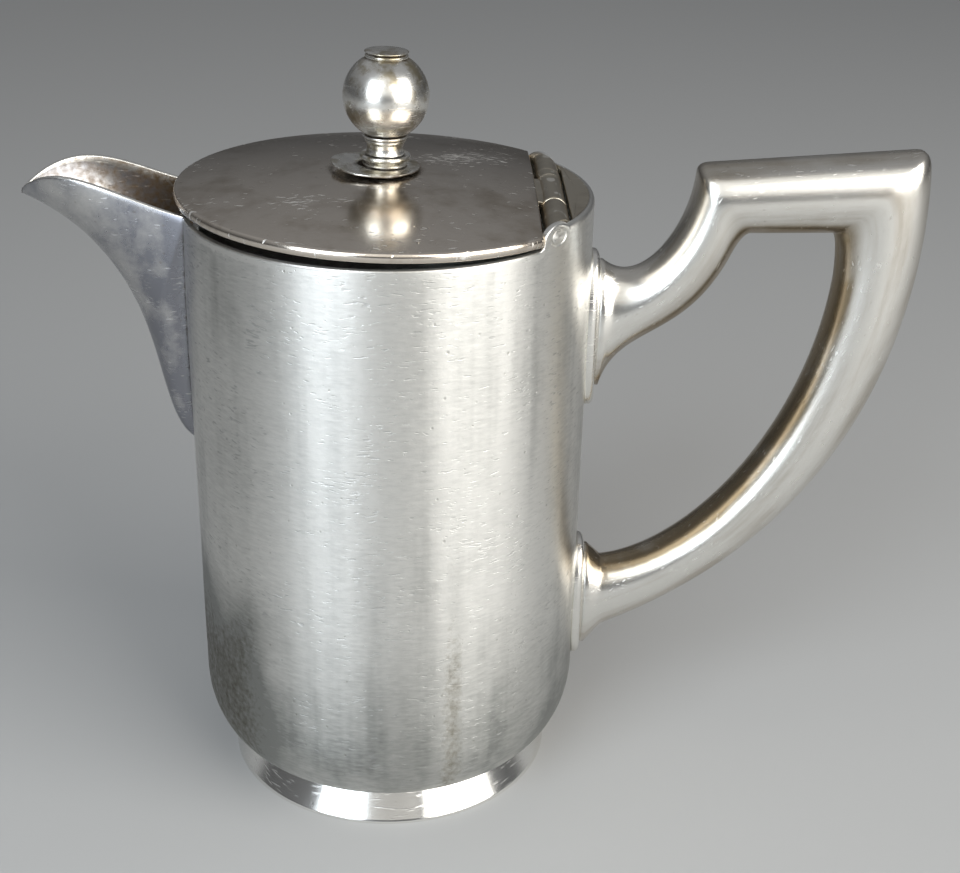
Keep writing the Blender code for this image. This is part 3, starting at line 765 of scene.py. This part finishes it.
# The pin: a rod with slightly domed ends that stand just proud of the bottom of their wells.
def buildPin():
    radius, steps = hinge["pin"], 9
    share = np.sin(np.linspace(0, math.pi / 2, steps))
    angle = np.linspace(0, math.tau, 49)
    spread = np.concatenate([share, share[::-1]])[:, None] * radius
    x = hingeX + spread * np.cos(angle)
    z = hingeZ + spread * np.sin(angle)
    reach = np.sqrt(bodyRadius**2 - x**2) - 0.00012 * (spread / radius) ** 4
    side = np.concatenate([-np.ones(steps), np.ones(steps)])[:, None]
    return skin("hingePin", np.stack([x, side * reach, z], -1), 0.6)


# The three knuckles in a row with a gap between them, the fixed half-moon and the pin.
def buildHinge():
    half = hinge["middle"] / 2
    start = half + hinge["gap"] / 2
    wallAt = math.sqrt((bodyRadius - body["wall"]) ** 2 - hingeX**2)
    near = buildKnuckle(-wallAt, -start, True, False, [])
    far = buildKnuckle(start, wallAt, False, True, [0.0035])
    finish(skin("knuckleNear", *near), "jug", "hinge_silver", hingeSilver, "hinge_knuckle_near")
    finish(skin("knuckleFar", *far), "jug", "hinge_silver", hingeSilver, "hinge_knuckle_far")
    middle = hinge["middle"] - hinge["gap"]
    grid, wear, grime = buildKnuckle(-middle / 2, middle / 2, False, False, [0.00045, middle - 0.00045])
    finish(skin("knuckleLid", tipped(grid), wear, grime), "lid", "hinge_silver", hingeSilver,
           "hinge_knuckle_lid")
    finish(buildRearPlate(), "jug", "hinge_silver", hingeSilver, "rear_top_plate")
    finish(buildPin(), "jug", "hinge_silver", bodySilver, "hinge_pin")


buildHinge()
print("hinge made")


lid = {"radius": 0.036, "edgeTop": 0.11055, "edge": 0.0016, "sheet": 0.0012, "rise": 0.003, "cut": 0.025,
       "bead": 0.0022, "edgeRound": 0.00055, "finialX": -0.0007}


# Height of the dome: the edge plus the rise times 1 - (r / R)^2, with faint dents from use.
def domeHeight(x, y):
    r = np.hypot(x, y) / lid["radius"]
    return lid["edgeTop"] + lid["rise"] * (1 - r**2) + 0.00003 * uneven(x * 160, y * 130, 0.4)


# The domed lid: rows go from the middle out over the dome, round the turned edge and back underneath to
# the middle. Columns go round the outline, a circle with a straight cut along the hinge.
def buildLid():
    corner = math.acos(lid["cut"] / lid["radius"])
    angle = np.concatenate([np.linspace(-corner, corner, 81)[:-1],
                            np.linspace(corner, math.tau - corner, 257)])
    reach = np.where(np.cos(angle) * lid["radius"] > lid["cut"] - 1e-9,
                     lid["cut"] / np.maximum(np.cos(angle), 0.1), lid["radius"])
    edgeRound, drop = lid["edgeRound"], lid["edge"]
    turn = np.linspace(0, math.pi, 15)
    inset = np.concatenate([edgeRound * (1 - np.sin(turn)), [0.0012, lid["bead"] - 0.0002]])
    lower = np.concatenate([drop / 2 * (1 - np.cos(turn)), [drop, drop]])

    def domed(reach, depth):  # rows of places this far under the dome's top
        x, y = reach * np.cos(angle), reach * np.sin(angle)
        return np.stack([x, y, domeHeight(x, y) - depth], -1)

    topRows = domed(np.linspace(0, 1, 34)[:-1, None] * (reach - edgeRound), 0.0)
    edgeReach = reach - inset[:, None]
    edgeBase = domed(reach - edgeRound, 0.0)[..., 2]
    onCircle = ease(0, 0.004, lid["radius"] - reach)  # along the cut the edge follows the dome
    bottom = lid["edgeTop"] - drop
    fall = (edgeBase - bottom) * (lower / drop)[:, None]
    edgeRows = circled(edgeReach, angle, edgeBase - fall)
    underRows = domed(np.linspace(1, 0, 20)[:, None] * (reach - lid["bead"]), lid["sheet"])
    grid = np.concatenate([topRows, edgeRows, underRows])
    edgeWear = np.zeros(grid.shape[:2])
    # Scuffed patches: behind the finial towards the hinge, and a small one in front.
    behind = bell(grid[..., 0], 0.012, 0.009) * bell(grid[..., 1] - 0.3 * grid[..., 0], 0.007, 0.005)
    front = bell(grid[..., 0], -0.014, 0.004) * bell(grid[..., 1], -0.017, 0.005)
    edge = len(topRows)
    edgeWear[:edge] = (0.85 * behind + 0.6 * front)[:edge]
    edgeWear[edge:edge + len(turn) - 1] = 0.35 - 0.3 * onCircle
    tarnishAndShade = 0.5 * ease(-0.012, 0.030, grid[..., 1]) + 0.25 * ease(0.016, 0.025, grid[..., 0])
    away = np.hypot(grid[..., 0] - lid["finialX"] + 0.0016, grid[..., 1])
    grime = 0.75 * bell(away, 0.0077, 0.0007)
    return skin("lidPlate", tipped(grid), edgeWear, grime, tarnishAndShade)


# The leaf of the middle knuckle, soldered under the lid.
def buildLeaf():
    half = hinge["middle"] / 2 - 0.0004
    x = np.linspace(lid["cut"] - 0.0065, hingeX - 0.0006, 25)
    across = np.linspace(-half, half, 31)
    outline = np.vstack([
        np.stack([x, -half + 0 * x], -1), np.stack([x[-1] + 0 * across, across], -1)[1:],
        np.stack([x, half + 0 * x], -1)[::-1][1:], np.stack([x[0] + 0 * across, across], -1)[::-1][1:-1]])
    middle = np.array([(x[0] + x[-1]) / 2, 0])

    def upper(x, y):
        return np.minimum(domeHeight(x, y) - lid["sheet"] + 0.00005, hingeZ + 0.0016)

    def under(x, y):
        return upper(x, y) - 0.0008

    return skin("lidLeaf", tipped(plateGrid(outline, middle, upper, under, 0.0002)), 0.2)


finish(buildLid(), "lid", "lid_silver", lidSilver, "lid_plate")
finish(buildLeaf(), "lid", "hinge_silver", hingeSilver, "hinge_knuckle_lid")
print("lid made")


finial = {"x": -0.0007, "ball": 0.0072, "ballHeight": 0.1259, "ballLow": 0.11975, "ballHigh": 0.13225,
          "bore": 0.0015, "baseTop": 0.11615, "washerShift": -0.0016, "washerLift": 0.0007}


# A turned piece of the finial, from an outline of (radius, height, round) corners, bored for the bolt.
def turnedPiece(corners, shift=0.0, bore=finial["bore"]):
    first, last = corners[0], corners[-1]
    closed = [(bore, first[1], 0)] + corners + [(bore, last[1], 0), (bore, first[1], 0)]
    return turnedGrid(softened(closed), x=finial["x"] + shift)


# The finial from its washer up, then the bolt through it with its washer and nut under the lid.
def buildFinial():
    washerTop = lid["edgeTop"] + lid["rise"] + 0.0007
    washer = turnedPiece([(0.0040, washerTop, 0), (0.0060, washerTop, 0.0003), (0.0075, washerTop, 0.0002),
                          (0.0075, washerTop - 0.0004, 0.0002)], finial["washerShift"], bore=0.0031)
    # The washer has lifted at the spout side: its height grows with the square of the distance that way.
    lean = np.clip((finial["x"] - washer[..., 0]) / 0.009, 0, 1)
    dented = uneven(washer[..., 0] * 700, washer[..., 1] * 700, 3.0)
    washer[..., 2] += finial["washerLift"] * lean**2 + 0.00008 * dented
    baseLow, baseTop = washerTop + 0.0001, finial["baseTop"]
    base = turnedPiece([(0.0030, baseTop - 0.0002, 0.0004), (0.0041, baseTop + 0.0001, 0.0002),
                        (0.00435, baseTop - 0.0003, 0.0003), (0.0042, baseTop - 0.0007, 0.0003),
                        (0.0037, baseLow + 0.0005, 0.0005), (0.0038, baseLow, 0.0002)])
    neck = turnedPiece([(0.0034, 0.11955, 0.0001), (0.0038, 0.1194, 0.0002), (0.0038, 0.1190, 0.0002),
                        (0.0034, 0.11885, 0.0001), (0.0035, 0.1186, 0.00015), (0.0034, 0.1183, 0.00015),
                        (0.00315, 0.1181, 0.0002), (0.0030, 0.1174, 0.0006),
                        (0.0031, baseTop + 0.0006, 0.0004), (0.0034, baseTop + 0.0001, 0.0002)])
    low = math.asin((finial["ballLow"] - finial["ballHeight"]) / finial["ball"])
    high = math.asin((finial["ballHigh"] - finial["ballHeight"]) / finial["ball"])
    turn = np.linspace(high, low, 61)
    heights = finial["ballHeight"] + finial["ball"] * np.sin(turn)
    top, bottom = [finial["bore"], heights[0]], [finial["bore"], heights[-1]]
    outline = np.vstack([top, np.stack([finial["ball"] * np.cos(turn), heights], -1), bottom, top])
    ball = turnedGrid(outline, 128, finial["x"])
    bolt = softened([(0, 0.13348, 0), (0.0020, 0.13345, 0.0006), (0.0036, 0.13329, 0.0003),
                     (0.00372, 0.13310, 0.00012), (0.0035, 0.13298, 0.0001), (0.0032, 0.13288, 0.0001),
                     (0.0034, 0.13275, 0.0001), (0.0036, 0.13262, 0.0002), (0.0036, 0.13225, 0.0001),
                     (0.0034, 0.1320, 0), (0.0012, 0.1320, 0), (0.0012, 0.1093, 0.0001),
                     (0.0009, 0.1090, 0.0001), (0, 0.1090, 0)])
    bolt = turnedGrid(bolt, x=finial["x"])
    under = lid["edgeTop"] + lid["rise"] - lid["sheet"] - 0.0001
    inner = turnedPiece([(0.0042, under, 0.0001), (0.0042, under - 0.0005, 0.0001)])
    nutTop = under - 0.0006
    nut = turnedPiece([(0.0029, nutTop, 0.0001), (0.0029, nutTop - 0.0018, 0.0003)])
    # Six flats: outside the bore a radius shrinks to cos 30 over the cosine from the nearest flat's middle.
    turn = np.arctan2(nut[..., 1], nut[..., 0] - finial["x"])
    flatSix = math.cos(math.pi / 6) / np.cos((turn % (math.pi / 3)) - math.pi / 6)
    spread = np.hypot(nut[..., 1], nut[..., 0] - finial["x"])
    sixSided = np.where(spread > 0.002, np.minimum(flatSix, 0.98), 1)
    nut[..., 0] = finial["x"] + (nut[..., 0] - finial["x"]) * sixSided
    nut[..., 1] *= sixSided

    rings = bell(neck[..., 2], 0.1188, 0.00015) + bell(neck[..., 2], baseTop, 0.0003)
    ends = bell(ball[..., 2], finial["ballLow"], 0.0004) + bell(ball[..., 2], 0.1323, 0.0004)
    made = [
        ("finialWasher", washer, "finial_washer", bell(washer[..., 2], washerTop - 0.0003, 0.0003)),
        ("finialBase", base, "finial_base", bell(base[..., 2], baseLow, 0.0003)),
        ("finialNeck", neck, "finial_neck", rings),
        ("finialBall", ball, "finial_ball", ends),
        ("finialBolt", bolt, "finial_bolt", bell(bolt[..., 2], 0.1329, 0.00012)),
        ("innerWasher", inner, "finial_inner_washer", 0.0),
        ("finialNut", nut, "finial_nut", 0.0),
    ]
    for name, grid, node, grime in made:
        piece = skin(name, tipped(grid), 0.0, 0.8 * grime)
        if name in ("innerWasher", "finialNut"):
            finish(piece, "lid", "fastener_brass", boltBrass, node)
        else:
            finish(piece, "lid", "finial_silver", edgeSilver, node)


buildFinial()
print("finial made")


handle = {
    "strutOuter": [(0.0372, 0.0986), (0.0446, 0.0925), (0.0526, 0.1056), (0.0523, 0.1158)],
    "strutInner": [(0.0372, 0.0752), (0.0407, 0.0887), (0.0533, 0.0824), (0.0607, 0.1040)],
    "legOuter": [(0.0916, 0.1189), (0.0943, 0.1001), (0.0937, 0.0502), (0.0404, 0.0253)],
    "legInner": [(0.0777, 0.1043), (0.0799, 0.0708), (0.0574, 0.0408), (0.0399, 0.0394)],
    "legRoot": [(0.0372, 0.0210), (0.0372, 0.0420)],
    "steps": 60,  # rows along each of the strut, the bar and the leg
    "columns": 41,  # columns over the skin of each half
    "strutHalf": 0.0056,
    "barHalf": 0.006,
    "legHalf": 0.0054,
    "squareness": 2 / 2.08,
    "wall": 0.0012,
    "saddle": 0.0016,
    "saddlePower": 0.8,
    "upperSaddle": (0.0718, 0.1003, 0.0072),
    "lowerSaddle": (0.0193, 0.0439, 0.0068),
    "specks": 0.00014,
}


# One side of the handle's outline, from the upper saddle along the strut, the bar and the leg to the lower
# saddle: two cubic curves joined by a straight bar.
def handleOutline(strut, leg, root):
    t = np.linspace(0, 1, handle["steps"])
    bar = np.linspace(strut[3], leg[0], handle["steps"])[1:-1]
    end = np.linspace(leg[3], root, 8)[1:]  # runs on into the saddle
    return np.vstack([cubic(strut, t), bar, cubic(leg, t), end])


# Rounds the corner of a polyline near one of its points: inside `reach` steps of it the line is replaced
# by the quadratic curve from the line before to the line after.
def mitred(line, at, reach):
    line = line.copy()
    t = np.linspace(0, 1, 2 * reach + 1)[:, None]
    start, corner, end = line[at - reach], line[at], line[at + reach]
    line[at - reach:at + reach + 1] = (1 - t) ** 2 * start + 2 * t * (1 - t) * corner + t**2 * end
    return line


# Half of the handle: rows follow the outline, columns go round a superellipse from the outer side over the
# flank to the inner side, and back along the hollow's wall. The halves meet on the middle plane.
def buildHandleHalf(side):
    outer = handleOutline(handle["strutOuter"], handle["legOuter"], handle["legRoot"][0])
    inner = handleOutline(handle["strutInner"], handle["legInner"], handle["legRoot"][1])
    barStart = handle["steps"] - 1
    barEnd = 2 * barStart
    outer = mitred(mitred(outer, barStart, 3), barEnd, 3)
    inner = mitred(mitred(inner, barStart, 5), barEnd, 5)
    share = np.linspace(0, 1, len(outer))
    strutPart = ease(0.0, 0.3, share)
    legPart = ease(0.55, 1.0, share)
    half = handle["strutHalf"] + (handle["barHalf"] - handle["strutHalf"]) * strutPart
    half = half + (handle["legHalf"] - handle["barHalf"]) * legPart
    flare = 1 + 0.10 * bell(share, 0, 0.02) + 0.10 * bell(share, 1, 0.02)
    half = half * flare
    columns = handle["columns"]
    turn = np.pi * (0.5 - 0.5 * np.cos(np.linspace(0, np.pi, columns)))
    cosine = signedPower(np.cos(turn), handle["squareness"])
    sine = signedPower(np.sin(turn), handle["squareness"])
    centre = (outer + inner) / 2
    reach = (outer - inner) / 2
    size = np.linalg.norm(reach, axis=1)

    def ring(shrink):
        flat = centre[:, None] + reach[:, None] * ((1 - shrink / size)[:, None] * cosine)[..., None]
        across = (half - shrink)[:, None] * sine
        return np.stack([flat[..., 0], side * across, flat[..., 1]], -1)

    skinSide = ring(0.0)
    # Specks of solder along the inner seam, and a faint line along the outer one.
    walked = np.concatenate([[0], np.cumsum(np.linalg.norm(np.diff(inner, axis=0), axis=1))])
    speck = np.clip(uneven(walked * 900, walked * 400, 5.0), 0, 1)[:, None]
    nearSeam = bell(skinSide[..., 1], 0, 0.00035)
    innerSide = (turn > math.pi / 2)[None, :]
    outward = (skinSide[..., [0, 2]] - centre[:, None]) / size[:, None, None]
    lift = handle["specks"] * speck * nearSeam * innerSide - 0.00004 * nearSeam * ~innerSide
    skinSide[..., [0, 2]] += outward * lift[..., None]
    # The two ends sink into the saddles.
    grid = np.concatenate([skinSide, ring(handle["wall"])[:, ::-1], skinSide[:, :1]], axis=1)
    onSaddle = np.sqrt((bodyRadius + handle["saddle"] - 0.0004) ** 2 - grid[..., 1] ** 2)
    first, last = grid[:1].copy(), grid[-1:].copy()
    first[..., 0], last[..., 0] = onSaddle[:1], onSaddle[-1:]
    grid = np.concatenate([first, grid, last])
    grime = np.zeros(grid.shape[:2])
    grime[1:-1, :columns] = 0.45 * nearSeam * innerSide * (1 - speck)
    # Brown tarnish, and painted shade where the reflections run dark: darker on the side that faces the
    # opening and along the top of the bar and the strut.
    facing = np.cos(turn)[None, :]
    tarnishAndShade = np.zeros(grid.shape[:2])
    tarnishAndShade[1:-1, :columns] = ease(0.35, 0.85, -facing) + 0.35 * ease(0.45, 1.0, facing)
    return grid, grime, tarnishAndShade


# Closes the hollow between the skin and the inside of the wall at both ends.
def closedEnds(grid):
    outside = grid[:, :handle["columns"]]
    inside = grid[:, handle["columns"]:-1][:, ::-1]
    loop = np.concatenate([outside, inside[:, ::-1], outside[:, :1]], axis=1)
    middle = (outside + inside) / 2
    cap = np.concatenate([middle, middle[:, ::-1], middle[:, :1]], axis=1)
    return np.concatenate([cap[:1], loop, cap[-1:]])


# A plate bent round the wall: an elongated round outline in (across, up), wrapped on the body's radius,
# with its edge rounded off.
def buildSaddle(name, low, high, halfWidth, node):
    turn = np.linspace(0, math.tau, 97)
    across = signedPower(np.cos(turn), handle["saddlePower"]) * halfWidth
    up = signedPower(np.sin(turn), handle["saddlePower"]) * (high - low) / 2
    middle = (low + high) / 2
    edgeRound = 0.0009
    flatRows = 9
    step = np.linspace(0, math.pi / 2, 8)
    face = np.linspace(0, 1, flatRows + 1)[:-1] * 0.9
    shares = np.concatenate([face, 0.9 + 0.1 * np.sin(step), [1.0, 1.0], [0.0]])
    # The last rows go down the side and across the back, which lies inside the wall.
    depth = np.concatenate([np.zeros(flatRows), edgeRound * (1 - np.cos(step)), [0.0012, 0.00175, 0.00175]])
    radius = bodyRadius + handle["saddle"] - depth
    spread = shares[:, None] * across
    grid = np.stack([np.sqrt(radius[:, None] ** 2 - spread**2), spread, middle + shares[:, None] * up], -1)
    wear = np.zeros(grid.shape[:2])
    wear[flatRows:flatRows + len(step) - 1] = 0.8
    finish(skin(name, grid, wear), "jug", "handle_silver", saddleSilver, node)


for name, side, node in (("handleNear", -1, "handle_half_near"), ("handleFar", 1, "handle_half_far")):
    halfGrid, halfGrime, halfTarnishAndShade = buildHandleHalf(side)
    halfGrime = np.concatenate([halfGrime[:1], halfGrime, halfGrime[-1:]])
    halfTarnishAndShade = np.concatenate([halfTarnishAndShade[:1], halfTarnishAndShade, halfTarnishAndShade[-1:]])
    half = skin(name, closedEnds(halfGrid), 0.0, halfGrime, halfTarnishAndShade)
    finish(half, "jug", "handle_silver", handleSilver, node)
buildSaddle("saddleUpper", *handle["upperSaddle"], "handle_upper_saddle")
buildSaddle("saddleLower", *handle["lowerSaddle"], "handle_lower_saddle")
print("handle made")


studio = {
    "floorColour": (0.43, 0.43, 0.425),
    "floorHalf": 3.0,
    "middle": 0.07,  # the height that the lights aim at
    "worldLow": 0.07,
    "worldHigh": 0.34,
    "backdrop": 0.42,
    "worldColour": (0.95, 0.97, 1.0),
}
# Each light: azimuth and elevation of its middle in degrees, turned with the camera's azimuth, its distance,
# its width and height in metres, its power in watts and its colour.
lights = {
    "windowLeft": (-31, 24, 0.80, 0.42, 0.70, 4.9, (0.85, 0.925, 1.0)),
    "windowRight": (51, 24, 0.80, 0.70, 0.70, 7.5, (1.0, 0.985, 0.95)),
    "ceiling": (4, 41, 0.88, 0.60, 0.85, 1.1, (1.0, 0.97, 0.90)),
}
view = {
    "aim": (0.0012, -0.00047, 0.06447),
    "distance": 0.28258,
    "azimuth": -1.63,
    "elevation": 25.42,
    "roll": 1.347,
    "lens": 58.06,
}


# A light or camera that faces a point from (sin a cos e, -cos a cos e, sin e) times the distance, with the
# azimuth a and the elevation e.
def placed(name, data, middle, azimuth, elevation, distance):
    a, e = math.radians(azimuth), math.radians(elevation)
    away = np.array([math.sin(a) * math.cos(e), -math.cos(a) * math.cos(e), math.sin(e)])
    piece = bpy.data.objects.new(name, data)
    bpy.context.scene.collection.objects.link(piece)
    piece.location = np.array(middle) + away * distance
    piece.rotation_euler = (math.pi / 2 - e, 0, a)
    return piece


# A flat square floor, a world that brightens with height, and lights that all face the jug.
def buildStudio():
    line = np.linspace(-studio["floorHalf"], studio["floorHalf"], 9)
    places = np.stack(np.meshgrid(line, line) + [np.zeros((9, 9))], -1).reshape(-1, 3)
    mesh = bpy.data.meshes.new("floor")
    mesh.from_pydata(places.tolist(), [], gridFaces(9, 9).tolist())
    floor = bpy.data.objects.new("floor", mesh)
    bpy.context.scene.collection.objects.link(floor)
    paint = bpy.data.materials.new("floorPaint")
    paint.use_nodes = True
    shader = paint.node_tree.nodes["Principled BSDF"]
    shader.inputs["Base Color"].default_value = (*studio["floorColour"], 1)
    shader.inputs["Roughness"].default_value = 0.7
    floor.data.materials.append(paint)

    world = bpy.data.worlds.new("studio")
    bpy.context.scene.world = world
    world.use_nodes = True
    background = world.node_tree.nodes["Background"]
    background.inputs["Color"].default_value = (*studio["worldColour"], 1)
    # Brighter overhead than at the horizon, and an even pale backdrop where it is seen directly.
    tree = world.node_tree
    up = put(tree, "SeparateXYZ", {0: put(tree, "TexCoord").outputs["Generated"]}).outputs[2]
    rise = mapped(tree, up, 0.0, 0.8, studio["worldLow"], studio["worldHigh"])
    direct = put(tree, "LightPath").outputs["Is Camera Ray"]
    seen = put(tree, "Mix", {0: direct, 2: rise, 3: studio["backdrop"]}, data_type="FLOAT")
    tree.links.new(seen.outputs[0], background.inputs["Strength"])
    for name, (azimuth, elevation, distance, width, height, power, colour) in lights.items():
        lamp = bpy.data.lights.new(name, "AREA")
        lamp.shape = "RECTANGLE"
        lamp.size, lamp.size_y = width, height
        lamp.energy = power
        lamp.color = colour
        holder = placed(name, lamp, (0, 0, studio["middle"]), azimuth + view["azimuth"], elevation, distance)
        holder.visible_camera = False


# The camera looks at the aim point from an azimuth and an elevation, then rolls about its own axis.
def buildCamera():
    camera = placed("camera", bpy.data.cameras.new("camera"), view["aim"], view["azimuth"],
                    view["elevation"], view["distance"])
    camera.rotation_mode = "QUATERNION"
    half = math.radians(view["roll"]) / 2
    turn = camera.rotation_quaternion.copy()
    turn.identity()
    turn.w, turn.z = math.cos(half), math.sin(half)
    camera.rotation_quaternion = camera.rotation_quaternion @ turn
    camera.data.lens = view["lens"]
    camera.data.sensor_width = 36.0
    camera.data.clip_start, camera.data.clip_end = 0.01, 20.0
    bpy.context.scene.camera = camera


buildStudio()
buildCamera()
bpy.context.scene.view_settings.view_transform = "Standard"
print("studio made")
